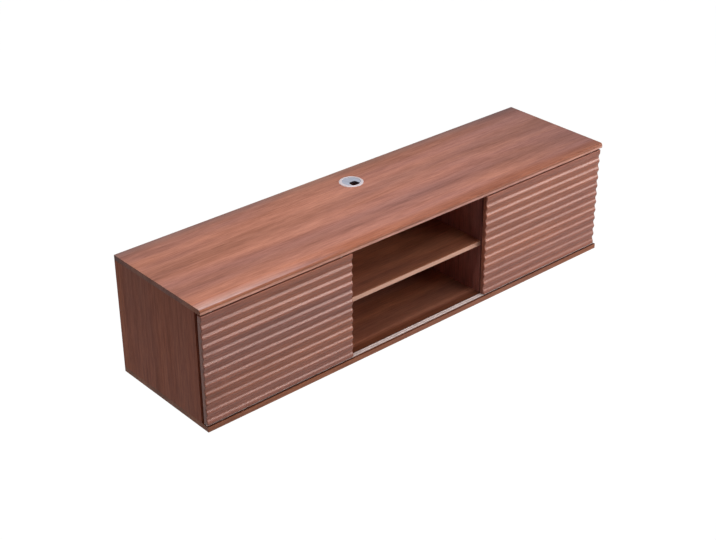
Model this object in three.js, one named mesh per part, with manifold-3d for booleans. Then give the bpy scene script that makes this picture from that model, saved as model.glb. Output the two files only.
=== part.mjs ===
// Floating media console: a wall-hung cabinet with two rippled doors that roll on one track.
// Millimetres, +Z up, front towards -Y. The origin lies on the wall plane, in the middle of
// the cabinet's width and on the centre line of the hanging rails.
import * as THREE from 'three';
import { mergeVertices } from 'three/addons/utils/BufferGeometryUtils.js';
import Module from 'manifold-3d';

const wasm = await Module();
wasm.setup();

// Cabinet
const cabinetWidth = 1500;
const cabinetDepth = 385;
const cabinetHeight = 360;
const boardThickness = 15;
const backThickness = 3;
const centreBayWidth = 516;
const uprightSetback = 28.5; // front edges of sides and dividers, behind the bottom panel's
const shelfSetback = 1; // shelf's front edge, behind the dividers'
const topSetback = 3.4; // top panel's front edge, behind the bottom panel's
const topRoundDepth = 6.2;
const topRoundHeight = 9;
const railHeight = 60;
const railThickness = 15;
const railHoleRadius = 3;
const railHoleInset = 60;
const cableHoleRadius = 30;

// Clearances
const fitGap = 0.3; // between a piece and the hole, pocket or seat that holds it
const overrun = 1; // how far a cutting tool runs past the face that it opens

// Doors
const doorThickness = 16;
const doorWidth = 492;
const doorSetback = 1.5; // ripple crests, behind the bottom panel's front edge
const doorFootGap = 5.5;
const doorHeadGap = 4;
const ripplePitch = 27.8;
const rippleDepth = 4.4;
const rippleFootBand = 4.9; // flat band below the lowest crest
const rightDoorParkGap = 8; // the right door stands this far from its closed place

// Bottom track, an aluminium strip with two ribs that guide the wheels
const trackWidth = 15;
const trackBaseThickness = 1.2;
const trackChannelWidth = 5.4;
const trackRibWidth = 1.6;
const trackRibHeight = 1.4;
const trackEndMargin = 2;
const stopHeight = 3.8;
const stopToeHeight = 0.8;

// Wheels and their carriages, let into the back of each door at its lower corners
const wheelRadius = 11;
const wheelWidth = 4.4;
const wheelEdgeRound = 0.6;
const wheelWebWidth = 2.6;
const wheelHubRadius = 4.2;
const wheelRimThickness = 2.4;
const wheelInset = 35; // wheel's axis from the door's end
const wheelPlaneDepth = 3.5; // wheel's middle plane, in front of the door's back
const axleRadius = 2;
const axleHeadRadius = 3.4;
const axleHeadThickness = 1;
const carriageWall = 1.2;
const carriageSideWall = 2;
const carriageCrown = 5; // material above the wheel's slot
const wheelRunGap = 1; // round the wheel's rim, in its slot
const flangeThickness = 1.8;
const flangeEar = 9;
const flangeRise = 4;

// Top guide: studs in the doors' top edges run in a lined groove of the top panel
const guideWidth = 9.4;
const guideWall = 1.2;
const guideHeight = 8;
const guidePlaneDepth = 5.5; // groove's middle plane, in front of the doors' backs
const guideEndMargin = 20;
const studShankRadius = 3.5;
const studShankLength = 18;
const studCollarRadius = 5;
const studCollarThickness = 1.5;
const studPinRadius = 2.5;
const studEngagement = 4.5; // stud's reach above the top panel's underside

// Cable grommet in the top panel
const grommetBoreRadius = 30;
const grommetFlangeRadius = 35.5;
const grommetFlangeHeight = 2.2;
const grommetFlangeRound = 1.4;
const grommetTubeWall = 2;
const grommetLedge = 2.6; // inward step that carries the cap
const grommetLedgeHeight = 2.4;
const grommetTubeReach = 3; // below the top panel's underside
const grommetBackDistance = 79; // grommet's centre from the wall
const capThickness = 2.2;
const capSink = 0.8; // cap's top below the flange's
const capNotchWidth = 25.4;
const capNotchCorner = 7;
const capNotchOffset = 0.4; // notch's back edge, in front of the cap's centre

// Fittings
const camRadius = 7.5;
const camDepth = 12;
const camSetback = 24; // cam's centre from the end of its panel
const camInset = 50; // cam's centre from the panel's front and back edges
const camSlotWidth = 1.6;
const camSlotDepth = 1.4;
const boltShankRadius = 3;
const boltNeckRadius = 1.8;
const boltHeadRadius = 2.6;
const boltThreadLength = 10;
const boltHeadLength = 3;
const boltNeckLength = 3.5;
const panelScrewLength = 48;
const panelScrewRadius = 3;
const panelScrewHeadRadius = 4.8;
const panelScrewHeadLength = 3.4;
const panelScrewInset = 60; // from a panel's front and back edges
const smallScrewLength = 9;
const smallScrewRadius = 1.4;
const smallScrewHeadRadius = 2.8;
const smallScrewHeadLength = 1;

// Faceting
const holeSides = 12;
const wheelSides = 20;
const ringSides = 36;
const pinSides = 8;
const rippleSteps = 12; // facets in each ripple
const curveSteps = 5;

// Places that follow from the sizes
const halfWidth = cabinetWidth / 2;
const undersideZ = boardThickness + railHeight / 2 - cabinetHeight;
const floorZ = undersideZ + boardThickness;
const topZ = undersideZ + cabinetHeight;
const ceilingZ = topZ - boardThickness;
const frontY = -cabinetDepth;
const uprightFrontY = frontY + uprightSetback;
const bayX = centreBayWidth / 2;
const dividerX = bayX + boardThickness;
const sideX = halfWidth - boardThickness;
const shelfMiddleZ = (floorZ + ceilingZ) / 2;
const doorBackY = frontY + doorSetback + doorThickness;
const doorFootZ = floorZ + doorFootGap;
const doorHeight = ceilingZ - doorHeadGap - doorFootZ;
const trackY = doorBackY - wheelPlaneDepth;
const trackFloorZ = floorZ + trackBaseThickness;
const guideY = doorBackY - guidePlaneDepth;
const wheelZ = trackFloorZ + fitGap + wheelRadius;
const grommetY = -grommetBackDistance;
const wheelEndX = halfWidth - wheelInset; // outermost place of a wheel's axis

// Materials
const walnut = new THREE.MeshStandardMaterial({ color: 0x9c6450, roughness: 0.5 });
const walnutDoor = new THREE.MeshStandardMaterial({ color: 0x9a6250, roughness: 0.42 });
const hardboard = new THREE.MeshStandardMaterial({ color: 0x6e4636, roughness: 0.8 });
const aluminium = new THREE.MeshStandardMaterial({ color: 0xc8bdb8, roughness: 0.4, metalness: 0.9 });
const steel = new THREE.MeshStandardMaterial({ color: 0xb4b6ba, roughness: 0.3, metalness: 1 });
const zinc = new THREE.MeshStandardMaterial({ color: 0xa8aaae, roughness: 0.45, metalness: 0.9 });
const nylon = new THREE.MeshStandardMaterial({ color: 0xd8d6cf, roughness: 0.5 });
const darkPlastic = new THREE.MeshStandardMaterial({ color: 0x2c2826, roughness: 0.5 });
const greyPlastic = new THREE.MeshStandardMaterial({ color: 0xb9b8c2, roughness: 0.35 });

const model = new THREE.Group();

// Adds a named piece to a group and returns its mesh
function addPiece(parent, name, geometry, material) {
  const mesh = new THREE.Mesh(geometry, material);
  mesh.name = name;
  parent.add(mesh);
  return mesh;
}

// Turns a closed geometry into a solid that can be joined and cut
function solidFrom(geometry) {
  const bare = geometry.clone();
  bare.deleteAttribute('normal');
  bare.deleteAttribute('uv');
  const merged = mergeVertices(bare);
  const corners = merged.index.array;
  const kept = [];
  for (let i = 0; i < corners.length; i += 3) {
    const [a, b, c] = corners.slice(i, i + 3);
    if (a !== b && b !== c && c !== a) {
      kept.push(a, b, c);
    }
  }
  return new wasm.Manifold(new wasm.Mesh({
    numProp: 3,
    vertProperties: new Float32Array(merged.attributes.position.array),
    triVerts: new Uint32Array(kept),
  }));
}

// Turns a solid back into a geometry
function geometryFrom(solid) {
  const mesh = solid.getMesh();
  const geometry = new THREE.BufferGeometry();
  geometry.setAttribute('position', new THREE.BufferAttribute(mesh.vertProperties, 3));
  geometry.setIndex(new THREE.BufferAttribute(mesh.triVerts, 1));
  geometry.computeVertexNormals();
  return geometry;
}

// Cuts tools out of a geometry
function cut(geometry, tools) {
  let solid = solidFrom(geometry);
  for (const tool of tools) {
    solid = solid.subtract(solidFrom(tool));
  }
  return geometryFrom(solid);
}

// Joins geometries, touching or apart, into one
function join(geometries) {
  let solid = solidFrom(geometries[0]);
  for (const geometry of geometries.slice(1)) {
    solid = solid.add(solidFrom(geometry));
  }
  return geometryFrom(solid);
}

// A block between two corners, given as a span along each axis
function block([x0, x1], [y0, y1], [z0, z1]) {
  const geometry = new THREE.BoxGeometry();
  const corners = geometry.attributes.position;
  for (let i = 0; i < corners.count; i += 1) {
    const x = corners.getX(i) < 0 ? x0 : x1;
    const y = corners.getY(i) < 0 ? y0 : y1;
    const z = corners.getZ(i) < 0 ? z0 : z1;
    corners.setXYZ(i, x, y, z);
  }
  return geometry;
}

// A round bar or hole along an axis, through a point given by its two other coordinates
function bar(axis, radius, [from, to], [first, second], sides = holeSides) {
  const geometry = new THREE.CylinderGeometry(radius, radius, Math.abs(to - from), sides);
  const middle = (from + to) / 2;
  if (axis === 'x') {
    return geometry.rotateZ(Math.PI / 2).translate(middle, first, second);
  }
  if (axis === 'y') {
    return geometry.translate(first, middle, second);
  }
  return geometry.rotateX(Math.PI / 2).translate(first, second, middle);
}

// A drawn outline is one unit deep until it is set between its two ends
const drawOptions = { depth: 1, bevelEnabled: false, curveSegments: curveSteps };

// An outline in Y and Z, drawn out along X
function drawAlongX(outline, [x0, x1]) {
  const geometry = new THREE.ExtrudeGeometry(outline, drawOptions);
  const points = geometry.attributes.position;
  for (let i = 0; i < points.count; i += 1) {
    points.setXYZ(i, points.getZ(i) > 0 ? x1 : x0, points.getX(i), points.getY(i));
  }
  return geometry;
}

// An outline in X and Z, drawn out along Y; its Y runs backwards to keep the faces outward
function drawAlongY(outline, [y0, y1]) {
  const geometry = new THREE.ExtrudeGeometry(outline, drawOptions);
  const points = geometry.attributes.position;
  for (let i = 0; i < points.count; i += 1) {
    points.setXYZ(i, points.getX(i), points.getZ(i) > 0 ? y0 : y1, points.getY(i));
  }
  return geometry;
}

// A profile of [radius, height] points revolved about its own Y axis; it closes by itself
function revolve(profile, sides) {
  const points = profile.map(([radius, height]) => new THREE.Vector2(radius, height));
  if (THREE.ShapeUtils.area(points) < 0) {
    points.reverse();
  }
  points.push(points[0].clone());
  return new THREE.LatheGeometry(points, sides);
}

// A profile that starts and ends on the axis, revolved about its own Y axis
function revolveToAxis(profile, sides) {
  const points = profile.map(([radius, height]) => new THREE.Vector2(radius, height));
  return new THREE.LatheGeometry(points, sides);
}

// An outline from a list of points
function outlineOf(points) {
  return new THREE.Shape(points.map(([first, second]) => new THREE.Vector2(first, second)));
}

// Carcass: uprights with the pockets of their cam locks
const uprights = [
  { name: 'left_side_panel', span: [-halfWidth, -sideX], face: -sideX, into: -1, backY: 0 },
  { name: 'left_divider', span: [-dividerX, -bayX], face: -dividerX, into: 1, backY: -backThickness },
  { name: 'right_divider', span: [bayX, dividerX], face: dividerX, into: -1, backY: -backThickness },
  { name: 'right_side_panel', span: [sideX, halfWidth], face: sideX, into: 1, backY: 0 },
];
const camYs = [uprightFrontY + camInset, -backThickness - camInset];
const screwYs = [uprightFrontY + panelScrewInset, -backThickness - panelScrewInset];
const camZ = ceilingZ - camSetback;
const middleOf = ([from, to]) => (from + to) / 2;

// Bottom screws run up from the bottom panel's underside into each upright
const bottomScrewTools = [];
const bottomScrews = [];
for (const upright of uprights) {
  for (const y of screwYs) {
    const place = [middleOf(upright.span), y];
    const tip = undersideZ + panelScrewLength + fitGap;
    const seat = undersideZ + panelScrewHeadLength + fitGap;
    bottomScrewTools.push(bar('z', panelScrewRadius + fitGap, [undersideZ - overrun, tip], place));
    bottomScrewTools.push(bar('z', panelScrewHeadRadius + fitGap, [undersideZ - overrun, seat], place));
    bottomScrews.push({ upright, place });
  }
}

function buildUpright(upright) {
  const tools = [...bottomScrewTools];
  const middleX = middleOf(upright.span);
  for (const y of camYs) {
    const pocketEnd = upright.face + upright.into * (camDepth + fitGap);
    const pocketMouth = upright.face - upright.into * overrun;
    tools.push(bar('x', camRadius + fitGap, [pocketMouth, pocketEnd], [y, camZ]));
    tools.push(bar('z', boltShankRadius + fitGap, [camZ, ceilingZ + overrun], [middleX, y]));
  }
  if (upright.name.endsWith('divider')) {
    const mouth = upright.face - upright.into * overrun;
    const exit = upright.face + upright.into * (boardThickness + overrun);
    const seat = upright.face + upright.into * (panelScrewHeadLength + fitGap);
    for (const y of screwYs) {
      tools.push(bar('x', panelScrewRadius + fitGap, [mouth, exit], [y, shelfMiddleZ]));
      tools.push(bar('x', panelScrewHeadRadius + fitGap, [mouth, seat], [y, shelfMiddleZ]));
    }
  }
  const geometry = block(upright.span, [uprightFrontY, upright.backY], [floorZ, ceilingZ]);
  addPiece(model, upright.name, cut(geometry, tools), walnut);
}

for (const upright of uprights) {
  buildUpright(upright);
}

// Bottom panel
const bottomBlock = block([-halfWidth, halfWidth], [frontY, 0], [undersideZ, floorZ]);
addPiece(model, 'bottom_panel', cut(bottomBlock, bottomScrewTools), walnut);

// Bolts that stand down from the top panel into the uprights; the cam locks draw on their heads
const boltHeadEnd = camSetback - camRadius + boltNeckLength + boltHeadLength;
const boltNeckEnd = boltHeadEnd - boltHeadLength;
const boltShankEnd = boltNeckEnd - boltNeckLength;
const boltProfile = [
  [0, -boltThreadLength],
  [boltShankRadius, -boltThreadLength],
  [boltShankRadius, boltShankEnd],
  [boltNeckRadius, boltShankEnd],
  [boltNeckRadius, boltNeckEnd],
  [boltHeadRadius, boltNeckEnd],
  [boltHeadRadius, boltHeadEnd],
  [0, boltHeadEnd],
];
const bolts = [];
for (const upright of uprights) {
  for (const y of camYs) {
    const bolt = revolveToAxis(boltProfile, pinSides).rotateX(-Math.PI / 2);
    bolts.push(bolt.translate(middleOf(upright.span), y, ceilingZ));
  }
}

// Top panel: its upper front edge is rounded, its underside carries the guide groove
const topFrontY = frontY + topSetback;
const topOutline = new THREE.Shape();
topOutline.moveTo(0, ceilingZ);
topOutline.lineTo(0, topZ);
topOutline.lineTo(topFrontY + topRoundDepth, topZ);
topOutline.absellipse(
  topFrontY + topRoundDepth, topZ - topRoundHeight, topRoundDepth, topRoundHeight,
  Math.PI / 2, Math.PI, false,
);
topOutline.lineTo(topFrontY, ceilingZ);
const guideHalf = halfWidth - guideEndMargin;
const grooveHalfWidth = guideWidth / 2 + fitGap;
const topTools = [];
topTools.push(block(
  [-guideHalf - fitGap, guideHalf + fitGap],
  [guideY - grooveHalfWidth, guideY + grooveHalfWidth],
  [ceilingZ - overrun, ceilingZ + guideHeight + fitGap],
));
topTools.push(bar(
  'z', grommetBoreRadius, [ceilingZ - overrun, topZ + overrun], [0, grommetY], ringSides,
));
const topBoard = cut(drawAlongX(topOutline, [-halfWidth, halfWidth]), topTools);
addPiece(model, 'top_panel', join([topBoard, ...bolts]), walnut);

// Shelf in the centre bay
const shelfFrontY = uprightFrontY + shelfSetback;
const shelfSpanZ = [shelfMiddleZ - boardThickness / 2, shelfMiddleZ + boardThickness / 2];
const shelfTools = [];
for (const y of screwYs) {
  for (const side of [-1, 1]) {
    const tip = side * (dividerX - panelScrewLength - fitGap);
    shelfTools.push(bar('x', panelScrewRadius + fitGap, [side * (bayX + overrun), tip], [y, shelfMiddleZ]));
  }
}
const shelfBlock = block([-bayX, bayX], [shelfFrontY, -backThickness], shelfSpanZ);
addPiece(model, 'centre_shelf', cut(shelfBlock, shelfTools), walnut);

// Each bay has a thin back panel and, in front of it at the top, a rail that hangs the cabinet
const backSeamX = bayX + boardThickness / 2;
const bays = [
  { name: 'left', span: [-sideX, -dividerX], backSpan: [-sideX, -backSeamX], cableZs: [] },
  {
    name: 'centre',
    span: [-bayX, bayX],
    backSpan: [-backSeamX, backSeamX],
    cableZs: [(floorZ + shelfSpanZ[0]) / 2, (shelfSpanZ[1] + ceilingZ - railHeight) / 2],
  },
  { name: 'right', span: [dividerX, sideX], backSpan: [backSeamX, sideX], cableZs: [] },
];

for (const bay of bays) {
  const railBackY = -backThickness;
  const railFrontY = railBackY - railThickness;
  const railMiddleZ = ceilingZ - railHeight / 2;
  const holes = [bay.span[0] + railHoleInset, bay.span[1] - railHoleInset].map(
    (x) => bar('y', railHoleRadius, [railFrontY - overrun, overrun], [x, railMiddleZ]),
  );
  const railBlock = block(bay.span, [railFrontY, railBackY], [ceilingZ - railHeight, ceilingZ]);
  addPiece(model, `${bay.name}_hanging_rail`, cut(railBlock, holes), walnut);
  const cableHoles = bay.cableZs.map(
    (z) => bar('y', cableHoleRadius, [railBackY - overrun, overrun], [0, z], ringSides),
  );
  const backBlock = block(bay.backSpan, [railBackY, 0], [floorZ, ceilingZ]);
  addPiece(model, `${bay.name}_back_panel`, cut(backBlock, [...holes, ...cableHoles]), hardboard);
}

// Aluminium track on the bottom panel: flat flanges, two ribs and a channel between them
const channelHalf = trackChannelWidth / 2;
const ribOuter = channelHalf + trackRibWidth;
const ribTopZ = trackFloorZ + trackRibHeight;
const trackSide = [
  [trackWidth / 2, floorZ],
  [trackWidth / 2, trackFloorZ],
  [ribOuter, trackFloorZ],
  [ribOuter, ribTopZ],
  [channelHalf, ribTopZ],
  [channelHalf, trackFloorZ],
];
const trackOutline = outlineOf([
  ...trackSide.map(([across, z]) => [trackY + across, z]),
  ...trackSide.toReversed().map(([across, z]) => [trackY - across, z]),
]);
const trackHalf = halfWidth - trackEndMargin;
addPiece(model, 'bottom_track', drawAlongX(trackOutline, [-trackHalf, trackHalf]), aluminium);

// Stops in the channel's ends, hollowed to the wheel that comes to rest against them
function stopOutline(side) {
  const reach = wheelRadius + fitGap;
  const topAngle = Math.acos((wheelZ - trackFloorZ - stopHeight) / reach);
  const toeAngle = Math.acos((wheelZ - trackFloorZ - stopToeHeight) / reach);
  const points = [];
  for (let i = 0; i <= curveSteps; i += 1) {
    const angle = toeAngle + ((topAngle - toeAngle) * i) / curveSteps;
    points.push([wheelEndX + reach * Math.sin(angle), wheelZ - reach * Math.cos(angle)]);
  }
  points.push([trackHalf, trackFloorZ + stopHeight]);
  points.push([trackHalf, trackFloorZ]);
  points.push([wheelEndX + reach * Math.sin(toeAngle), trackFloorZ]);
  return outlineOf(points.map(([x, z]) => [side * x, z]));
}

const stopHalf = channelHalf - fitGap;
for (const [name, side] of [['left_track_stop', -1], ['right_track_stop', 1]]) {
  addPiece(model, name, drawAlongY(stopOutline(side), [trackY - stopHalf, trackY + stopHalf]), darkPlastic);
}

// Liner of the guide groove: a channel that opens downwards
const guideHalfWidth = guideWidth / 2;
const guideInner = guideHalfWidth - guideWall;
const guideTopZ = ceilingZ + guideHeight;
const guideOutline = outlineOf([
  [guideY - guideHalfWidth, ceilingZ],
  [guideY - guideHalfWidth, guideTopZ],
  [guideY + guideHalfWidth, guideTopZ],
  [guideY + guideHalfWidth, ceilingZ],
  [guideY + guideInner, ceilingZ],
  [guideY + guideInner, guideTopZ - guideWall],
  [guideY - guideInner, guideTopZ - guideWall],
  [guideY - guideInner, ceilingZ],
]);
addPiece(model, 'top_guide_channel', drawAlongX(guideOutline, [-guideHalf, guideHalf]), aluminium);

// Cable grommet: a flanged sleeve with a turning cap on its ledge
const sleeveOuter = grommetBoreRadius - fitGap;
const sleeveInner = sleeveOuter - grommetTubeWall;
const capRadius = sleeveInner - fitGap;
const capTop = grommetFlangeHeight - capSink;
const ledgeTop = capTop - capThickness - fitGap;
const sleeveProfile = [
  [sleeveInner, ledgeTop],
  [sleeveInner, grommetFlangeHeight],
];
for (let i = 0; i <= curveSteps; i += 1) {
  const angle = Math.PI / 2 * (1 - i / curveSteps);
  sleeveProfile.push([
    grommetFlangeRadius - grommetFlangeRound + grommetFlangeRound * Math.cos(angle),
    grommetFlangeHeight - grommetFlangeRound + grommetFlangeRound * Math.sin(angle),
  ]);
}
sleeveProfile.push(
  [grommetFlangeRadius, 0],
  [sleeveOuter, 0],
  [sleeveOuter, -boardThickness - grommetTubeReach],
  [sleeveInner, -boardThickness - grommetTubeReach],
  [sleeveInner, ledgeTop - grommetLedgeHeight],
  [sleeveInner - grommetLedge, ledgeTop - grommetLedgeHeight / 2],
  [sleeveInner - grommetLedge, ledgeTop],
);
const grommet = new THREE.Group();
grommet.position.set(0, grommetY, topZ);
model.add(grommet);
addPiece(grommet, 'grommet_sleeve', revolve(sleeveProfile, ringSides).rotateX(Math.PI / 2), greyPlastic);

// The cap is a disc with a notch to its rim, where the cables pass
const capOutline = new THREE.Shape();
const notchHalf = capNotchWidth / 2;
const mouthAngle = Math.asin(notchHalf / capRadius);
const notchBackY = -capNotchOffset;
capOutline.absarc(0, 0, capRadius, mouthAngle - Math.PI / 2, Math.PI * 3 / 2 - mouthAngle, false);
capOutline.lineTo(-notchHalf, notchBackY - capNotchCorner);
capOutline.absarc(-notchHalf + capNotchCorner, notchBackY - capNotchCorner, capNotchCorner, Math.PI, Math.PI / 2, true);
capOutline.lineTo(notchHalf - capNotchCorner, notchBackY);
capOutline.absarc(notchHalf - capNotchCorner, notchBackY - capNotchCorner, capNotchCorner, Math.PI / 2, 0, true);
const capDisc = new THREE.ExtrudeGeometry(capOutline, {
  depth: capThickness,
  bevelEnabled: false,
  curveSegments: ringSides / 4,
});
addPiece(grommet, 'grommet_cap', capDisc, greyPlastic).position.z = capTop - capThickness;

// Cam locks in the uprights, each with a cross slot in its face and a throat for its bolt
function camGeometry(upright, y) {
  const slotSpan = [upright.face - upright.into * overrun, upright.face + upright.into * camSlotDepth];
  slotSpan.sort((a, b) => a - b);
  const half = camSlotWidth / 2;
  const reach = camRadius - camSlotWidth;
  const disc = bar('x', camRadius, [upright.face, upright.face + upright.into * camDepth], [y, camZ]);
  return cut(disc, [
    bar('z', boltShankRadius, [camZ - half, ceilingZ], [middleOf(upright.span), y], pinSides),
    block(slotSpan, [y - half, y + half], [camZ - reach, camZ + reach]),
    block(slotSpan, [y - reach, y + reach], [camZ - half, camZ + half]),
  ]);
}

for (const upright of uprights) {
  camYs.forEach((y, index) => {
    const place = index === 0 ? 'front' : 'rear';
    addPiece(model, `${upright.name}_${place}_cam`, camGeometry(upright, y), zinc);
  });
}

// A screw pointing along its own -Y, the seat of its head at zero
function screw(headRadius, headLength, radius, length) {
  return revolveToAxis([
    [0, -length],
    [radius, headLength - length],
    [radius, 0],
    [headRadius, 0],
    [headRadius, headLength],
    [0, headLength],
  ], pinSides);
}

const panelScrewShank = panelScrewLength - panelScrewHeadLength;
const panelScrew = () => screw(panelScrewHeadRadius, panelScrewHeadLength, panelScrewRadius, panelScrewShank);

// Screws through the dividers into the shelf's ends
for (const [name, side] of [['left', -1], ['right', 1]]) {
  screwYs.forEach((y, index) => {
    const place = index === 0 ? 'front' : 'rear';
    const seatX = side * (dividerX - panelScrewHeadLength);
    const one = panelScrew().rotateZ((-side * Math.PI) / 2).translate(seatX, y, shelfMiddleZ);
    addPiece(model, `shelf_screw_${name}_${place}`, one, steel);
  });
}

// Screws from below into the uprights
bottomScrews.forEach(({ upright, place: [x, y] }, index) => {
  const row = index % screwYs.length === 0 ? 'front' : 'rear';
  const seatZ = undersideZ + panelScrewHeadLength;
  const one = panelScrew().rotateX(-Math.PI / 2).translate(x, y, seatZ);
  addPiece(model, `${upright.name}_${row}_screw`, one, steel);
});

// Doors. A door's own frame starts at its middle, on its back face and its bottom edge.
const rippleCount = Math.floor((doorHeight - 2 * rippleFootBand) / ripplePitch);
const wheelLocalZ = wheelZ - doorFootZ;
const slotHalfWidth = wheelWidth / 2 + fitGap;
const slotFrontY = -wheelPlaneDepth - slotHalfWidth;
const slotBackY = -wheelPlaneDepth + slotHalfWidth;
const slotHalfX = wheelRadius + wheelRunGap;
const slotTopZ = wheelLocalZ + wheelRadius + wheelRunGap;
const bodyHalfX = slotHalfX + carriageSideWall;
const bodyFrontY = slotFrontY - carriageWall;
const bodyTopZ = slotTopZ + carriageCrown;
const flangeHalfX = bodyHalfX + flangeEar;
const flangeTopZ = bodyTopZ + flangeRise;
const screwOffsetX = bodyHalfX + flangeEar / 2;
const screwZ = flangeTopZ / 2;

// The rippled face: a row of full waves between two flat bands
function doorOutline() {
  const points = [
    [0, 0],
    [0, doorHeight],
    [-doorThickness, doorHeight],
  ];
  for (let i = rippleCount * rippleSteps; i >= 0; i -= 1) {
    const wave = i / rippleSteps;
    const depth = (rippleDepth * (1 - Math.cos(2 * Math.PI * wave))) / 2;
    points.push([depth - doorThickness, rippleFootBand + wave * ripplePitch]);
  }
  points.push([-doorThickness, 0]);
  return outlineOf(points);
}

// Roller carriage: a body in the door's pocket, and a flange with its two screws on the door's back
function carriageGeometry(wheelX) {
  const body = block([wheelX - bodyHalfX, wheelX + bodyHalfX], [bodyFrontY, flangeThickness], [0, bodyTopZ]);
  const flange = block([wheelX - flangeHalfX, wheelX + flangeHalfX], [0, flangeThickness], [0, flangeTopZ]);
  const tools = [
    block([wheelX - slotHalfX, wheelX + slotHalfX], [slotFrontY, slotBackY], [-overrun, slotTopZ]),
    bar('y', axleRadius + fitGap, [bodyFrontY - overrun, flangeThickness + overrun], [wheelX, wheelLocalZ]),
  ];
  const screws = [wheelX - screwOffsetX, wheelX + screwOffsetX].map(
    (x) => screw(smallScrewHeadRadius, smallScrewHeadLength, smallScrewRadius, smallScrewLength)
      .translate(x, flangeThickness, screwZ),
  );
  return cut(join([body, flange, ...screws]), tools);
}

const wheelProfile = [
  [axleRadius + fitGap, -wheelWidth / 2],
  [wheelHubRadius, -wheelWidth / 2],
  [wheelHubRadius, -wheelWebWidth / 2],
  [wheelRadius - wheelRimThickness, -wheelWebWidth / 2],
  [wheelRadius - wheelRimThickness, -wheelWidth / 2],
  [wheelRadius - wheelEdgeRound, -wheelWidth / 2],
  [wheelRadius, wheelEdgeRound - wheelWidth / 2],
  [wheelRadius, wheelWidth / 2 - wheelEdgeRound],
  [wheelRadius - wheelEdgeRound, wheelWidth / 2],
  [wheelRadius - wheelRimThickness, wheelWidth / 2],
  [wheelRadius - wheelRimThickness, wheelWebWidth / 2],
  [wheelHubRadius, wheelWebWidth / 2],
  [wheelHubRadius, wheelWidth / 2],
  [axleRadius + fitGap, wheelWidth / 2],
];

// Axle pin with its head on the flange
const axleProfile = [
  [0, bodyFrontY + fitGap],
  [axleRadius, bodyFrontY + fitGap],
  [axleRadius, flangeThickness + fitGap],
  [axleHeadRadius, flangeThickness + fitGap],
  [axleHeadRadius, flangeThickness + fitGap + axleHeadThickness],
  [0, flangeThickness + fitGap + axleHeadThickness],
];

// Guide stud, its collar on the door's top edge
const studProfile = [
  [0, -studShankLength],
  [studShankRadius, -studShankLength],
  [studShankRadius, 0],
  [studCollarRadius, 0],
  [studCollarRadius, studCollarThickness],
  [studPinRadius, studCollarThickness],
  [studPinRadius, doorHeadGap + studEngagement],
  [0, doorHeadGap + studEngagement],
];

function buildDoor(side, middleX) {
  const door = new THREE.Group();
  door.position.set(middleX, doorBackY, doorFootZ);
  model.add(door);

  const wheelXs = [wheelInset - doorWidth / 2, doorWidth / 2 - wheelInset];
  const tools = [];
  wheelXs.forEach((wheelX, index) => {
    const corner = `${side}_door_${index === 0 ? 'left' : 'right'}`;
    const pocketHalf = bodyHalfX + fitGap;
    tools.push(block([wheelX - pocketHalf, wheelX + pocketHalf], [bodyFrontY - fitGap, overrun], [-overrun, bodyTopZ + fitGap]));
    const studHole = [doorHeight - studShankLength - fitGap, doorHeight + overrun];
    tools.push(bar('z', studShankRadius + fitGap, studHole, [wheelX, -guidePlaneDepth]));
    addPiece(door, `${corner}_carriage`, carriageGeometry(wheelX), darkPlastic);
    const wheel = addPiece(door, `${corner}_wheel`, revolve(wheelProfile, wheelSides), nylon);
    wheel.position.set(wheelX, -wheelPlaneDepth, wheelLocalZ);
    const axle = addPiece(door, `${corner}_axle`, revolveToAxis(axleProfile, pinSides), steel);
    axle.position.set(wheelX, 0, wheelLocalZ);
    const stud = revolveToAxis(studProfile, holeSides).rotateX(Math.PI / 2);
    addPiece(door, `${corner}_guide_stud`, stud, nylon).position.set(wheelX, -guidePlaneDepth, doorHeight);
    const screwDepth = flangeThickness - smallScrewLength - fitGap;
    for (const x of [wheelX - screwOffsetX, wheelX + screwOffsetX]) {
      tools.push(bar('y', smallScrewRadius + fitGap, [screwDepth, overrun], [x, screwZ], pinSides));
    }
  });
  const board = drawAlongX(doorOutline(), [-doorWidth / 2, doorWidth / 2]);
  addPiece(door, `${side}_door`, cut(board, tools), walnutDoor);
}

buildDoor('left', doorWidth / 2 - halfWidth);
buildDoor('right', halfWidth - rightDoorParkGap - doorWidth / 2);

export default model;
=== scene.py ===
import math
import bmesh
import bpy
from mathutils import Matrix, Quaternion, Vector


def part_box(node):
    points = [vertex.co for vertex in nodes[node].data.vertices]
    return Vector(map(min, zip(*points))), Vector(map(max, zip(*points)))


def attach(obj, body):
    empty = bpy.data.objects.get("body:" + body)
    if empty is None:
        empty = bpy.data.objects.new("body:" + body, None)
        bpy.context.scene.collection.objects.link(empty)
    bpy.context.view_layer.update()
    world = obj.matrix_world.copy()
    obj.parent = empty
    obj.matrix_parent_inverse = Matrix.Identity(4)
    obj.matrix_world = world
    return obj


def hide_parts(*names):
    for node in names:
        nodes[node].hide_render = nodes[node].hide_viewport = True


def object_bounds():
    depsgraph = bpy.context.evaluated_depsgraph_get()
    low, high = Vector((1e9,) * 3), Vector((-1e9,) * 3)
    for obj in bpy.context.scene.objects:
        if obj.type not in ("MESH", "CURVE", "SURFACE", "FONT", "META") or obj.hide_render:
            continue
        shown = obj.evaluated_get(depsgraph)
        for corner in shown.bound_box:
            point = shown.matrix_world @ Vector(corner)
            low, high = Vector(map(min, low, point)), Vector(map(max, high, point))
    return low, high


# Looks of a wall-hung media console with two rippled doors on one track.
# Metres, front towards -Y, the wall at y = 0.
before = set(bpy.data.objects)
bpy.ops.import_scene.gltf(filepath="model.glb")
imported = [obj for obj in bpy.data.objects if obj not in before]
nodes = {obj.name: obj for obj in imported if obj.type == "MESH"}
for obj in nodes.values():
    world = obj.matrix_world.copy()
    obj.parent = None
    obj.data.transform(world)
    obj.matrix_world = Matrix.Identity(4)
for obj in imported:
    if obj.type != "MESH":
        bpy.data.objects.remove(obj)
cadLow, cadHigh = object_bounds()
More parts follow.
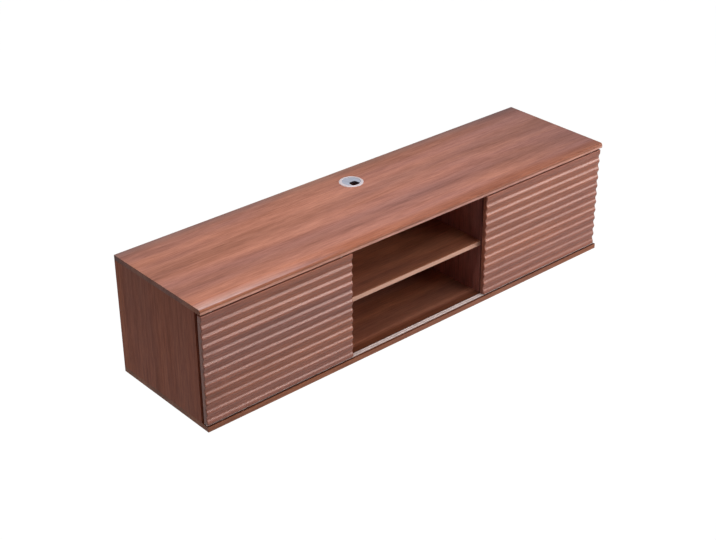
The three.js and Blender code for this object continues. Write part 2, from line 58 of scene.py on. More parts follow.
print("frame loaded:", len(nodes), "nodes")


# Camera
cameraView = {
    "azimuth": -41.785,
    "elevation": 28.891,
    "roll": 0.043,
    "place": (-2.4179, -2.8859, 1.8175),
    "lens": 71.7,
    "shiftX": -0.0232,
    "shiftY": -0.0076,
}


def addCamera(view):
    data = bpy.data.cameras.new("camera")
    data.lens = view["lens"]
    data.shift_x = view["shiftX"]
    data.shift_y = view["shiftY"]
    camera = bpy.data.objects.new("camera", data)
    bpy.context.scene.collection.objects.link(camera)
    around = math.radians(view["azimuth"])
    above = math.radians(view["elevation"])
    back = Vector((
        math.sin(around) * math.cos(above),
        -math.cos(around) * math.cos(above),
        math.sin(above),
    ))
    camera.rotation_mode = "QUATERNION"
    roll = Quaternion((0, 0, 1), math.radians(view["roll"]))
    camera.rotation_quaternion = (-back).to_track_quat("-Z", "Y") @ roll
    camera.location = view["place"]
    bpy.context.scene.camera = camera


addCamera(cameraView)


# Material helpers
def newMaterial(name):
    material = bpy.data.materials.new(name)
    material.use_nodes = True
    tree = material.node_tree
    tree.nodes.clear()
    output = tree.nodes.new("ShaderNodeOutputMaterial")
    shader = tree.nodes.new("ShaderNodeBsdfPrincipled")
    tree.links.new(shader.outputs[0], output.inputs["Surface"])
    return material, tree, shader


def addNode(tree, kind, inputs=None, **settings):
    node = tree.nodes.new(kind)
    for name, value in settings.items():
        setattr(node, name, value)
    for key, value in (inputs or {}).items():
        if isinstance(value, bpy.types.NodeSocket):
            tree.links.new(value, node.inputs[key])
        else:
            node.inputs[key].default_value = value
    return node


def maths(tree, operation, *values):
    return addNode(tree, "ShaderNodeMath", dict(enumerate(values)), operation=operation).outputs[0]


def objectPoints(tree, scale, place=(0, 0, 0)):
    source = addNode(tree, "ShaderNodeTexCoord")
    mapping = addNode(tree, "ShaderNodeMapping", {
        "Vector": source.outputs["Object"],
        "Scale": scale,
        "Location": place,
    })
    return mapping.outputs[0]


def objectAxes(tree):
    source = addNode(tree, "ShaderNodeTexCoord")
    return addNode(tree, "ShaderNodeSeparateXYZ", {0: source.outputs["Object"]}).outputs


def normalAxes(tree):
    surface = addNode(tree, "ShaderNodeNewGeometry")
    return addNode(tree, "ShaderNodeSeparateXYZ", {0: surface.outputs["True Normal"]}).outputs


def addNoise(tree, points, detail, rough=0.5):
    return addNode(tree, "ShaderNodeTexNoise", {
        "Vector": points, "Scale": 1.0, "Detail": detail, "Roughness": rough,
    }).outputs


def addBump(tree, shader, height, strength, distance):
    bump = addNode(tree, "ShaderNodeBump", {
        "Height": height, "Strength": strength, "Distance": distance,
    })
    tree.links.new(bump.outputs[0], shader.inputs["Normal"])


def addRamp(tree, factor, stops):
    ramp = addNode(tree, "ShaderNodeValToRGB", {"Fac": factor})
    elements = ramp.color_ramp.elements
    while len(elements) < len(stops):
        elements.new(0.5)
    for element, (place, colour) in zip(elements, stops):
        element.position = place
        element.color = (*colour, 1)
    return ramp.outputs["Color"]


def mixColour(tree, factor, first, second, blend="MIX"):
    node = addNode(tree, "ShaderNodeMix", data_type="RGBA", blend_type=blend)
    for key, value in (("Factor", factor), (6, first), (7, second)):
        socket = node.inputs[key]
        if isinstance(value, bpy.types.NodeSocket):
            tree.links.new(value, socket)
        elif isinstance(value, tuple):
            socket.default_value = (*value, 1)
        else:
            socket.default_value = value
    return node.outputs[2]


def spread(tree, value, fromLow, fromHigh, toLow, toHigh):
    node = addNode(tree, "ShaderNodeMapRange", {
        "Value": value,
        "From Min": fromLow,
        "From Max": fromHigh,
        "To Min": toLow,
        "To Max": toHigh,
    })
    return node.outputs[0]


# Walnut laminate: broad drifting tones, fine streaks, hair lines and short pores, all drawn out along
# the grain. A layer holds its noise's scale along and across the grain, its detail and its roughness.
walnut = {
    "dark": (0.205, 0.076, 0.052),
    "middle": (0.405, 0.170, 0.118),
    "light": (0.520, 0.235, 0.160),
    "warm": (0.50, 0.195, 0.105),
    "grey": (0.365, 0.175, 0.140),
    "roughness": 0.40,
    "roughnessSpread": 0.05,
    "gloss": 0.18,
    "sheen": (1.0, 0.86, 0.80),
    "tones": (),
    "bend": (1.3, 5.0, 2.0, 0.5),
    "bendShare": 0.35,
    "broad": (1.1, 9.0, 3.0, 0.5),
    "streaks": (2.4, 38.0, 7.0, 0.76),
    "hair": (16.0, 260.0, 4.0, 0.7),
    "pores": (60.0, 1400.0, 2.0, 0.5),
}


# Light and dark bands that run the length of the board
bands = {"pitch": 0.119, "light": -0.328, "strength": 0.10, "wander": 0.03}


def addBands(tree, colour, bend):
    light, wander = bands["light"], bands["wander"]
    drift = spread(tree, bend, 0.0, 1.0, -wander - light, wander - light)
    moved = maths(tree, "ADD", objectAxes(tree)["Y"], drift)
    wave = maths(tree, "COSINE", maths(tree, "MULTIPLY", moved, 2 * math.pi / bands["pitch"]))
    tone = maths(tree, "MULTIPLY_ADD", wave, bands["strength"], 1.0)
    return mixColour(tree, 1.0, colour, tone, "MULTIPLY")


# Another tone over part of a board: whole at the first place along an axis, gone at the second.
# The axis "facing" stands for how far the surface looks upward.
def addTone(tree, colour, tone):
    share = 1.0
    for axis, full, end in tone["where"]:
        value = normalAxes(tree)["Z"] if axis == "facing" else objectAxes(tree)[axis]
        part = spread(tree, value, full, end, 1.0, 0.0)
        share = maths(tree, "MULTIPLY", part, share)
    toned = mixColour(tree, 1.0, colour, tone["tint"], "MULTIPLY")
    return mixColour(tree, share, colour, toned)


def makeWalnut(name, grainAxis, seedPlace, tint, **changes):
    look = {**walnut, **changes}
    material, tree, shader = newMaterial(name)

    def grainPoints(layer, offset=(0, 0, 0)):
        lengthwise, across = look[layer][:2]
        scale = tuple(lengthwise if axis == grainAxis else across for axis in range(3))
        return objectPoints(tree, scale, tuple(seed + extra for seed, extra in zip(seedPlace, offset)))

    bend = addNoise(tree, grainPoints("bend"), *look["bend"][2:])
    centred = addNode(tree, "ShaderNodeVectorMath", {
        0: bend["Color"], 1: (0.5, 0.5, 0.5),
    }, operation="SUBTRACT")
    push = addNode(tree, "ShaderNodeVectorMath", {
        0: centred.outputs[0], "Scale": look["bendShare"],
    }, operation="SCALE")

    def grainNoise(layer, offset=(0, 0, 0)):
        moved = addNode(tree, "ShaderNodeVectorMath", {
            0: grainPoints(layer, offset), 1: push.outputs[0],
        }, operation="ADD")
        return addNoise(tree, moved.outputs[0], *look[layer][2:])["Fac"]

    broad = grainNoise("broad")
    streaks = grainNoise("streaks", (3.1, 0, 0))
    hair = grainNoise("hair", (0, 7.7, 0))
    pores = grainNoise("pores", (0, 0, 5.3))

    ground = addRamp(tree, broad, (
        (0.36, walnut["grey"]),
        (0.50, walnut["middle"]),
        (0.64, walnut["warm"]),
    ))
    streakColour = addRamp(tree, streaks, (
        (0.34, walnut["dark"]),
        (0.50, walnut["middle"]),
        (0.66, walnut["light"]),
    ))
    colour = mixColour(tree, 0.5, ground, streakColour)
    hairShade = addRamp(tree, hair, ((0.32, (0.76, 0.73, 0.72)), (0.62, (1.07, 1.07, 1.07))))
    colour = mixColour(tree, 1.0, colour, hairShade, "MULTIPLY")
    poreShade = addRamp(tree, pores, ((0.30, (0.72, 0.70, 0.69)), (0.40, (1.0, 1.0, 1.0))))
    colour = mixColour(tree, 0.6, colour, poreShade, "MULTIPLY")
    colour = mixColour(tree, 1.0, colour, tint, "MULTIPLY")
    if grainAxis == 0:
        colour = addBands(tree, colour, bend["Fac"])
    for tone in look["tones"]:
        colour = addTone(tree, colour, tone)
    tree.links.new(colour, shader.inputs["Base Color"])

    rough, change = look["roughness"], look["roughnessSpread"]
    uneven = spread(tree, streaks, 0.3, 0.7, rough + change, rough - change)
    tree.links.new(uneven, shader.inputs["Roughness"])
    shader.inputs["Specular IOR Level"].default_value = look["gloss"]
    shader.inputs["Specular Tint"].default_value = (*look["sheen"], 1)
    addBump(tree, shader, maths(tree, "ADD", hair, pores), strength=0.12, distance=0.0004)
    return material


leftEnd, rightEnd = cadLow.x, cadHigh.x
topTones = (
    {"where": (("X", leftEnd, 0.65),), "tint": (0.86, 0.84, 0.80)},
    {"where": (("X", rightEnd, 0.30),), "tint": (0.81, 0.86, 0.96)},
    {"where": (("Y", -0.007, -0.035),), "tint": (0.70, 0.85, 0.95)},  # back edge
    {"where": (("Y", -0.360, -0.338),), "tint": (1.05, 0.88, 0.68)},  # strip along the front
    # Painted highlight: the upper part of the front rounding at the left end is paled to stand for a lamp's
    # sheen there
    {
        "where": (("Y", -0.376, -0.345), ("X", -0.74, -0.25), ("Z", 0.0448, 0.043)),
        "tint": (1.65, 3.05, 5.30),
    },  # painted highlight: a lamp's sheen on the upper rounding at the left of that strip
)
# Painted highlight: a bright line along the lowest few millimetres of the top's front face, standing for a
# reflection there
paintedLipHighlight = {"where": (("Z", 0.0355, 0.0385),), "tint": (2.15, 3.05, 4.4)}
# Painted shade: the upper part of each side board is darkened for less light falling there
paintedSideTopShade = {"where": (("Z", 0.045, -0.16),), "tint": (0.86, 0.85, 0.83)}
# Painted shade: the left door darkens towards its left end, for less light falling there
paintedDoorLeftShade = {"where": (("X", leftEnd, 0.15),), "tint": (0.90, 0.88, 0.89)}
# Painted shade: upward faces along the front 40 mm of the bottom board are darkened, in front of and behind
# the track, where shade falls under the top and the doors
paintedTrackBedShade = {"where": (("Y", -0.345, -0.330), ("facing", 0.9, 0.6)), "tint": (0.40, 0.33, 0.28)}
# Painted shade: the rear rib of the track is darkened for the shadow that falls behind it
paintedRearRibShade = {"where": (("Y", -0.3645, -0.3670),), "tint": (0.24, 0.18, 0.15)}
walnutTop = makeWalnut("walnut_top", 0, (1.7, 0.4, 0.0), (0.97, 0.99, 1.12), tones=topTones)
lipWalnutAndHighlight = makeWalnut("walnut_lip", 0, (1.7, 0.4, 0.0), (0.95, 0.82, 0.66), tones=(paintedLipHighlight,))
walnutBottom = makeWalnut("walnut_bottom", 0, (3.3, 6.1, 1.0), (0.98, 0.90, 0.78), tones=(paintedTrackBedShade,))
walnutFlat = makeWalnut("walnut_flat", 0, (5.2, 2.4, 1.0), (1.02, 0.92, 0.76))
walnutUpright = makeWalnut("walnut_upright", 2, (0.3, 8.8, 3.0), (1.10, 0.93, 1.02))
walnutSide = makeWalnut(
    "walnut_side", 2, (0.3, 8.8, 3.0), (1.17, 0.86, 0.72), gloss=0.10, tones=(paintedSideTopShade,),
)
doorFoil = {"gloss": 0.66, "sheen": (1.0, 0.78, 0.72)}
# The left door's tint is a little darker than the right door's: painted shade
doorFinish = {
    "left": makeWalnut(
        "walnut_left_door", 0, (9.4, 4.1, 6.0), (1.02, 0.875, 0.855),
        roughness=0.29, tones=(paintedDoorLeftShade,), **doorFoil,
    ),
    "right": makeWalnut(
        "walnut_right_door", 0, (9.4, 4.1, 6.0), (1.05, 0.895, 0.87),
        roughness=0.33, **doorFoil,
    ),
}


# Back board: printed walnut towards the room, bare brown hardboard towards the wall
def makeBackBoard():
    material, tree, shader = newMaterial("back_board")
    fibres = addNoise(tree, objectPoints(tree, (420.0, 420.0, 260.0)), detail=5.0, rough=0.7)["Fac"]
    cloud = addNoise(tree, objectPoints(tree, (7.0, 7.0, 9.0)), detail=3.0)["Fac"]
    raw = addRamp(tree, fibres, (
        (0.3, (0.150, 0.082, 0.046)),
        (0.7, (0.250, 0.150, 0.090)),
    ))
    raw = mixColour(tree, 1.0, raw, addRamp(tree, cloud, (
        (0.35, (0.88, 0.88, 0.88)),
        (0.65, (1.08, 1.06, 1.04)),
    )), "MULTIPLY")
    printPoints = objectPoints(tree, (2.2, 60.0, 60.0), (2.0, 0.0, 4.0))
    streaks = addNoise(tree, printPoints, detail=6.0, rough=0.6)["Fac"]
    printed = addRamp(tree, streaks, (
        (0.28, walnut["dark"]),
        (0.50, walnut["middle"]),
        (0.72, walnut["light"]),
    ))
    toWall = spread(tree, normalAxes(tree)["Y"], 0.4, 0.6, 0.0, 1.0)
    tree.links.new(mixColour(tree, toWall, printed, raw), shader.inputs["Base Color"])
    tree.links.new(spread(tree, toWall, 0.0, 1.0, 0.5, 0.85), shader.inputs["Roughness"])
    addBump(tree, shader, fibres, strength=0.25, distance=0.0003)
    return material


# Metals: fine lines along one axis, a little soiling
def makeMetal(name, colour, roughness, lineAxis, lineScale, metallic=1.0, relief=0.10, tones=()):
    material, tree, shader = newMaterial(name)
    scale = tuple(8.0 if axis == lineAxis else lineScale for axis in range(3))
    lines = addNoise(tree, objectPoints(tree, scale), detail=3.0, rough=0.6)["Fac"]
    soil = addNoise(tree, objectPoints(tree, (35.0, 35.0, 35.0)), detail=4.0)["Fac"]
    shade = addRamp(tree, lines, (
        (0.3, tuple(0.90 * c for c in colour)),
        (0.7, tuple(min(1.0, 1.06 * c) for c in colour)),
    ))
    dirt = addRamp(tree, soil, ((0.30, (0.90, 0.89, 0.88)), (0.55, (1.0, 1.0, 1.0))))
    surface = mixColour(tree, 1.0, shade, dirt, "MULTIPLY")
    # On the track the tones darken the rear rib: painted shade
    for tone in tones:
        surface = addTone(tree, surface, tone)
    tree.links.new(surface, shader.inputs["Base Color"])
    shader.inputs["Metallic"].default_value = metallic
    rough = spread(tree, lines, 0.3, 0.7, roughness - 0.07, roughness + 0.09)
    tree.links.new(rough, shader.inputs["Roughness"])
    addBump(tree, shader, lines, strength=relief, distance=0.0002)
    return material


# Moulded plastic: faint mould texture and uneven sheen
def makePlastic(name, colour, roughness, gloss=0.5, relief=0.08):
    material, tree, shader = newMaterial(name)
    fine = addNoise(tree, objectPoints(tree, (1600.0, 1600.0, 1600.0)), detail=2.0)["Fac"]
    cloud = addNoise(tree, objectPoints(tree, (60.0, 60.0, 60.0)), detail=3.0)["Fac"]
    shade = addRamp(tree, cloud, (
        (0.3, tuple(0.93 * c for c in colour)),
        (0.7, tuple(min(1.0, 1.05 * c) for c in colour)),
    ))
    tree.links.new(shade, shader.inputs["Base Color"])
    rough = spread(tree, cloud, 0.3, 0.7, roughness - 0.04, roughness + 0.06)
    tree.links.new(rough, shader.inputs["Roughness"])
    shader.inputs["Specular IOR Level"].default_value = gloss
    addBump(tree, shader, fine, strength=relief, distance=0.0002)
    return material


# Shelf's front edge: a paler strip of wood-print edge band
def makeEdgeBand():
    material, tree, shader = newMaterial("edge_band")
    streaks = addNoise(tree, objectPoints(tree, (5.0, 200.0, 500.0)), detail=4.0, rough=0.6)["Fac"]
    shade = addRamp(tree, streaks, (
        (0.32, (0.63, 0.325, 0.225)),
        (0.60, (0.90, 0.510, 0.370)),
    ))
    tree.links.new(shade, shader.inputs["Base Color"])
    shader.inputs["Roughness"].default_value = 0.42
    addBump(tree, shader, streaks, strength=0.1, distance=0.0002)
    return material


edgeBand = makeEdgeBand()
backBoard = makeBackBoard()
trackMetal = makeMetal(
    "track_aluminium", (0.85, 0.725, 0.695), 0.45, 0, 500.0,
    metallic=0.3, relief=0.02, tones=(paintedRearRibShade,),
)
steelMetal = makeMetal("steel_fitting", (0.56, 0.57, 0.58), 0.30, 2, 500.0)
zincMetal = makeMetal("zinc_fitting", (0.50, 0.51, 0.52), 0.48, 0, 700.0)
paleNylon = makePlastic("pale_nylon", (0.69, 0.67, 0.62), 0.45)
darkNylon = makePlastic("dark_nylon", (0.030, 0.026, 0.023), 0.48)
grommetShell = makePlastic("grommet_shell", (0.58, 0.51, 0.54), 0.38, gloss=0.6, relief=0.02)
# Painted shade: the sleeve's bore takes a dark blue-grey for the dark inside the hole
grommetBoreShade = makePlastic("grommet_bore", (0.15, 0.165, 0.23), 0.5)
grommetLid = makePlastic("grommet_lid", (0.36, 0.38, 0.46), 0.38, gloss=0.6, relief=0.02)
print("materials made")


# Pieces
mergeDistance = 0.000002
sharpAngle = math.radians(40)  # edges under this are smooth
flatAngle = math.radians(1.0)  # faces within this are one face
easeSteps = 2


def paint(piece, material):
    piece.data.materials.clear()
    piece.data.materials.append(material)


# A second material on the chosen faces
def paintFaces(piece, material, chosen):
    piece.data.materials.append(material)
    for face in piece.data.polygons:
        if chosen(face):
            face.material_index = 1


def finishPiece(piece, material, body, slotName, *replaced):
    paint(piece, material)
    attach(piece, body)
    if replaced:
        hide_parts(*replaced)
    return piece


def meshObject(name, mesh):
    piece = bpy.data.objects.new(name, mesh)
    bpy.context.scene.collection.objects.link(piece)
    return piece


def bakeModifiers(piece):
    graph = bpy.context.evaluated_depsgraph_get()
    mesh = bpy.data.meshes.new_from_object(piece.evaluated_get(graph))
    piece.modifiers.clear()
    old = piece.data
    piece.data = mesh
    bpy.data.meshes.remove(old)


# Eases the edges and keeps the large faces flat to the eye
def easeEdges(piece, width):
    bevel = piece.modifiers.new("ease", "BEVEL")
    bevel.width = width
    bevel.segments = easeSteps
    bevel.limit_method = "ANGLE"
    bevel.angle_limit = sharpAngle
    bakeModifiers(piece)
    evenNormals(piece)


def evenNormals(piece):
    piece.data.shade_smooth()
    piece.data.set_sharp_from_angle(angle=sharpAngle)
    even = piece.modifiers.new("even", "WEIGHTED_NORMAL")
    even.keep_sharp = True
    even.weight = 100
    bakeModifiers(piece)


# Rounds only the edges whose two ends are both wanted
def roundEdges(piece, width, segments, wanted):
    work = bmesh.new()
    work.from_mesh(piece.data)
    edges = [edge for edge in work.edges if all(wanted(vert.co) for vert in edge.verts)]
    bmesh.ops.bevel(work, geom=edges, offset=width, segments=segments, profile=0.5, affect="EDGES")
    work.to_mesh(piece.data)
    work.free()


def boxTool(low, high):
    work = bmesh.new()
    bmesh.ops.create_cube(work, size=1.0)
    middle = (low + high) / 2
    for vert in work.verts:
        vert.co = Vector(m + c * s for m, c, s in zip(middle, vert.co, high - low))
    mesh = bpy.data.meshes.new("tool")
    work.to_mesh(mesh)
    work.free()
    return meshObject("tool", mesh)


# Cuts the tools out of a piece, or joins them to it, and removes them
def shape(piece, tools, operation="DIFFERENCE"):
    for tool in tools:
        cutter = piece.modifiers.new("cut", "BOOLEAN")
        cutter.object = tool
        cutter.operation = operation
        cutter.solver = "EXACT"
        bakeModifiers(piece)
        mesh = tool.data
        bpy.data.objects.remove(tool)
        bpy.data.meshes.remove(mesh)


# A round piece: an outline of radius and distance along the axis, spun round it
def turned(name, outline, place, along, steps):
    place, along = Vector(place), Vector(along)
    side = along.orthogonal().normalized()
    work = bmesh.new()
    ring = [work.verts.new(place + along * distance + side * radius) for radius, distance in outline]
    links = list(zip(ring, ring[1:]))
    if min(radius for radius, distance in outline) > 0:
        links.append((ring[-1], ring[0]))
    edges = [work.edges.new(link) for link in links]
    bmesh.ops.spin(work, geom=ring + edges, cent=place, axis=along, angle=2 * math.pi, steps=steps)
    bmesh.ops.remove_doubles(work, verts=work.verts, dist=mergeDistance)
    bmesh.ops.recalc_face_normals(work, faces=work.faces)
    mesh = bpy.data.meshes.new(name)
    work.to_mesh(mesh)
    work.free()
    return meshObject(name, mesh)


# A copy of a node with its triangles merged into whole faces
def wholeCopy(node, name):
    mesh = nodes[node].data.copy()
    work = bmesh.new()
    work.from_mesh(mesh)
    bmesh.ops.remove_doubles(work, verts=work.verts, dist=mergeDistance)
    bmesh.ops.dissolve_limit(work, angle_limit=flatAngle, verts=work.verts, edges=work.edges)
    work.to_mesh(mesh)
    work.free()
    mesh.materials.clear()
    return meshObject(name, mesh)


# Boards: the finish, and how far the edges are eased
boards = {
    "top_panel": (walnutTop, 0.0006),
    "bottom_panel": (walnutBottom, 0.0008),
    "centre_shelf": (walnutFlat, 0.0005),
    "left_side_panel": (walnutSide, 0.0008),
    "right_side_panel": (walnutSide, 0.0008),
    "left_divider": (walnutUpright, 0.0005),
    "right_divider": (walnutUpright, 0.0005),
    "left_hanging_rail": (walnutFlat, 0.0005),
    "centre_hanging_rail": (walnutFlat, 0.0005),
    "right_hanging_rail": (walnutFlat, 0.0005),
    "left_back_panel": (backBoard, 0.0002),
    "centre_back_panel": (backBoard, 0.0002),
    "right_back_panel": (backBoard, 0.0002),
}
shelfRound = {"width": 0.0016, "steps": 4}
# The top's front face takes the lip walnut with its painted highlight; the shelf's front takes the edge
# band
frontFinish = {"top_panel": lipWalnutAndHighlight, "centre_shelf": edgeBand}
frontward = -0.95  # faces that look this much towards the front
for node, (material, ease) in boards.items():
    board = wholeCopy(node, node + "_board")
    if node == "centre_shelf":
        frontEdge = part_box(node)[0].y
        roundEdges(board, shelfRound["width"], shelfRound["steps"], lambda co: co.y < frontEdge + ease)
    easeEdges(board, ease)
    finishPiece(board, material, "root", "back_board" if "back" in node else "walnut_board", node)
    if node in frontFinish:
        paintFaces(board, frontFinish[node], lambda face: face.normal.y < frontward)
print("boards made:", len(boards))


# Cross recess in the head of a screw or a cam, cut square to its axis
def crossRecess(piece, place, along, reach, width, depth):
    place, along = Vector(place), Vector(along)
    first = along.orthogonal().normalized()
    tools = []
    for across in (first, along.cross(first)):
        other = along.cross(across)
        half = across * reach + other * width / 2
        corners = (place - half - along * depth, place + half + along * depth)
        low = Vector(min(values) for values in zip(*corners))
        high = Vector(max(values) for values in zip(*corners))
        tools.append(boxTool(low, high))
    shape(piece, tools)


# Screws into the uprights from below and through the dividers into the shelf
panelScrew = {
    "headRadius": 0.0048, "headLength": 0.0034, "shankRadius": 0.0029, "ease": 0.0004,
    "recessReach": 0.0029, "recessWidth": 0.0011, "recessDepth": 0.0016, "steps": 32,
}


def makePanelScrew(node):
    low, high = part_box(node)
    axis = max(range(3), key=lambda i: high[i] - low[i])
    along = Vector(1.0 if i == axis else 0.0 for i in range(3))
    place = (low + high) / 2
    if "shelf_screw_right" in node:
        along.negate()
    length = high[axis] - low[axis]
    place -= along * length / 2
    head, shank = panelScrew["headRadius"], panelScrew["shankRadius"]
    headLength = panelScrew["headLength"]
    piece = turned(node + "_turned", (
        (0, 0), (head, 0), (head, headLength), (shank, headLength), (shank, length - shank), (0, length),
    ), place, along, panelScrew["steps"])
    easeEdges(piece, panelScrew["ease"])
    reach, width, depth = panelScrew["recessReach"], panelScrew["recessWidth"], panelScrew["recessDepth"]
    crossRecess(piece, place, along, reach, width, depth)
    evenNormals(piece)
    finishPiece(piece, steelMetal, "root", "steel_fitting", node)


# Cams: a disc flush in the upright's face, with a throat for the bolt that comes down from the top
cam = {
    "reach": 0.0058, "slotWidth": 0.0016, "slotDepth": 0.0014, "throatRadius": 0.0030,
    "ease": 0.0003, "near": 0.0005, "steps": 40, "throatSteps": 24,
}


def makeCam(node):
    low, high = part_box(node)
    board = node.replace("_front_cam", "").replace("_rear_cam", "")
    boardLow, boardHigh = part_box(board)
    middle = (low + high) / 2
    atLow = abs(low.x - boardLow.x) < cam["near"]
    along = Vector((1.0 if atLow else -1.0, 0, 0))
    place = Vector((low.x if atLow else high.x, middle.y, middle.z))
    radius, depth = (high.z - low.z) / 2, high.x - low.x
    piece = turned(node + "_turned", (
        (0, 0), (radius, 0), (radius, depth), (0, depth),
    ), place, along, cam["steps"])
    easeEdges(piece, cam["ease"])
    throatFoot = middle.z - cam["slotWidth"] / 2
    throatX = (boardLow.x + boardHigh.x) / 2
    throat = turned("throat", (
        (0, 0), (cam["throatRadius"], 0), (cam["throatRadius"], 2 * radius), (0, 2 * radius),
    ), (throatX, middle.y, throatFoot), (0, 0, 1), cam["throatSteps"])
    shape(piece, [throat])
    crossRecess(piece, place, along, cam["reach"], cam["slotWidth"], cam["slotDepth"])
    evenNormals(piece)
    finishPiece(piece, zincMetal, "root", "zinc_fitting", node)


for name in nodes:
    if name.endswith("_cam"):
        makeCam(name)
    elif "screw" in name:
        makePanelScrew(name)
print("cams and panel screws made")


# Cable grommet: a domed flange on a sleeve, and a cap with a notch to its rim
grommet = {
    "flangeHeight": 0.0022, "domeWidth": 0.0046, "domeSteps": 8, "lip": 0.0004,
    "sleeveWall": 0.0020, "ledge": 0.0026, "ledgeHeight": 0.0024, "ledgeTop": -0.0011, "fit": 0.0003,
    "notchWidth": 0.0268, "notchCorner": 0.0105, "notchOffset": 0.0004, "capEase": 0.0004,
    "bore": 0.030, "steps": 96, "cornerSteps": 10,
}


def makeSleeve():
    low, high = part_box("grommet_sleeve")
    centre = (low + high) / 2
    boardTop = high.z - grommet["flangeHeight"]
    outer = (high.x - low.x) / 2
    tube = grommet["bore"] - grommet["fit"]
    inner = tube - grommet["sleeveWall"]
    foot = low.z - boardTop
    outline = [(inner, grommet["ledgeTop"]), (inner, grommet["flangeHeight"] - grommet["lip"])]
    outline.append((inner + grommet["lip"], grommet["flangeHeight"]))
    for step in range(grommet["domeSteps"] + 1):
        turn = math.pi / 2 * step / grommet["domeSteps"]
        outline.append((
            outer - grommet["domeWidth"] * (1 - math.sin(turn)),
            grommet["flangeHeight"] * math.cos(turn),
        ))
    shelfFoot = grommet["ledgeTop"] - grommet["ledgeHeight"]
    outline += [
        (tube, 0), (tube, foot), (inner, foot), (inner, shelfFoot),
        (inner - grommet["ledge"], shelfFoot + grommet["ledgeHeight"] / 2),
        (inner - grommet["ledge"], grommet["ledgeTop"]),
    ]
    place = (centre.x, centre.y, boardTop)
    piece = turned("grommet_sleeve_turned", outline, place, (0, 0, 1), grommet["steps"])
    evenNormals(piece)
    finishPiece(piece, grommetShell, "root", "grommet_plastic", "grommet_sleeve")
    boreTop = boardTop + grommet["ledgeTop"] + grommet["fit"]
    # The faces below the ledge take the dark bore colour: painted shade
    paintFaces(piece, grommetBoreShade, lambda face: face.center.z < boreTop)


def makeCap():
    low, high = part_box("grommet_cap")
    sleeveLow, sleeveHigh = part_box("grommet_sleeve")
    centre = (sleeveLow + sleeveHigh) / 2
    radius = grommet["bore"] - 2 * grommet["fit"] - grommet["sleeveWall"]
    half = grommet["notchWidth"] / 2
    corner = grommet["notchCorner"]
    mouth = math.asin(half / radius)
    points = []
    for step in range(grommet["steps"] + 1):
        turn = mouth - math.pi / 2 + (2 * math.pi - 2 * mouth) * step / grommet["steps"]
        points.append((radius * math.cos(turn), radius * math.sin(turn)))
    for side, first in ((-1, math.pi), (1, math.pi / 2)):
        for step in range(grommet["cornerSteps"] + 1):
            turn = first - math.pi / 2 * step / grommet["cornerSteps"]
            points.append((
                side * (half - corner) + corner * math.cos(turn),
                -grommet["notchOffset"] - corner + corner * math.sin(turn),
            ))
    work = bmesh.new()
    rim = [work.verts.new((centre.x + x, centre.y + y, low.z)) for x, y in points]
    base = work.faces.new(rim)
    raised = bmesh.ops.extrude_face_region(work, geom=[base])
    lifted = [item for item in raised["geom"] if isinstance(item, bmesh.types.BMVert)]
    bmesh.ops.translate(work, verts=lifted, vec=(0, 0, high.z - low.z))
    bmesh.ops.recalc_face_normals(work, faces=work.faces)
    mesh = bpy.data.meshes.new("grommet_cap_disc")
    work.to_mesh(mesh)
    work.free()
    piece = meshObject("grommet_cap_disc", mesh)
    easeEdges(piece, grommet["capEase"])
    finishPiece(piece, grommetLid, "grommet_cap", "grommet_plastic", "grommet_cap")


makeSleeve()
makeCap()
print("grommet made")


# Rows of small screws, drawn by nodes from one head
def newTree(name, sockets):
    tree = bpy.data.node_groups.new(name, "GeometryNodeTree")
    tree.is_modifier = True
    tree.interface.new_socket("Geometry", in_out="OUTPUT", socket_type="NodeSocketGeometry")
    for label, kind in sockets:
        tree.interface.new_socket(label, in_out="INPUT", socket_type=kind)
    return tree, tree.nodes.new("NodeGroupInput").outputs


def endTree(tree, geometry, material):
    real = addNode(tree, "GeometryNodeRealizeInstances", {"Geometry": geometry})
    coloured = addNode(tree, "GeometryNodeSetMaterial", {"Geometry": real.outputs[0], "Material": material})
    output = tree.nodes.new("NodeGroupOutput")
    tree.links.new(coloured.outputs[0], output.inputs[0])


def setInputs(modifier, values):
    for item in modifier.node_group.interface.items_tree:
        if item.in_out == "INPUT" and item.name in values:
            modifier[item.identifier] = values[item.name]


def screwRowTree(material):
    tree, given = newTree("screw_row", (
        ("Head", "NodeSocketObject"), ("Count", "NodeSocketInt"),
        ("Start", "NodeSocketVector"), ("Step", "NodeSocketVector"),
    ))
    points = addNode(tree, "GeometryNodeMeshLine", {
        "Count": given["Count"], "Start Location": given["Start"], "Offset": given["Step"],
    }, mode="OFFSET")
    head = addNode(tree, "GeometryNodeObjectInfo", {"Object": given["Head"]})
    placed = addNode(tree, "GeometryNodeInstanceOnPoints", {
        "Points": points.outputs[0], "Instance": head.outputs["Geometry"],
    })
    endTree(tree, placed.outputs[0], material)
    return tree


screwTree = screwRowTree(steelMetal)
smallScrew = {"steps": 24, "recessWidth": 0.0006, "recessDepth": 0.0005, "recessShare": 0.6}
sunkHead = {"flat": 0.0019, "rim": 0.0022, "rimDepth": 0.0002, "neck": 0.0010, "depth": 0.0013}
panHead = {
    "flat": 0.0017, "shoulder": 0.0025, "shoulderDepth": 0.0003,
    "rim": 0.0028, "rimDepth": 0.0007, "depth": 0.0010,
}
sunkOutline = (
    (0, 0), (sunkHead["flat"], 0), (sunkHead["rim"], sunkHead["rimDepth"]),
    (sunkHead["neck"], sunkHead["depth"]), (0, sunkHead["depth"]),
)
panOutline = (
    (0, 0), (panHead["flat"], 0), (panHead["shoulder"], panHead["shoulderDepth"]),
    (panHead["rim"], panHead["rimDepth"]), (panHead["rim"], panHead["depth"]), (0, panHead["depth"]),
)


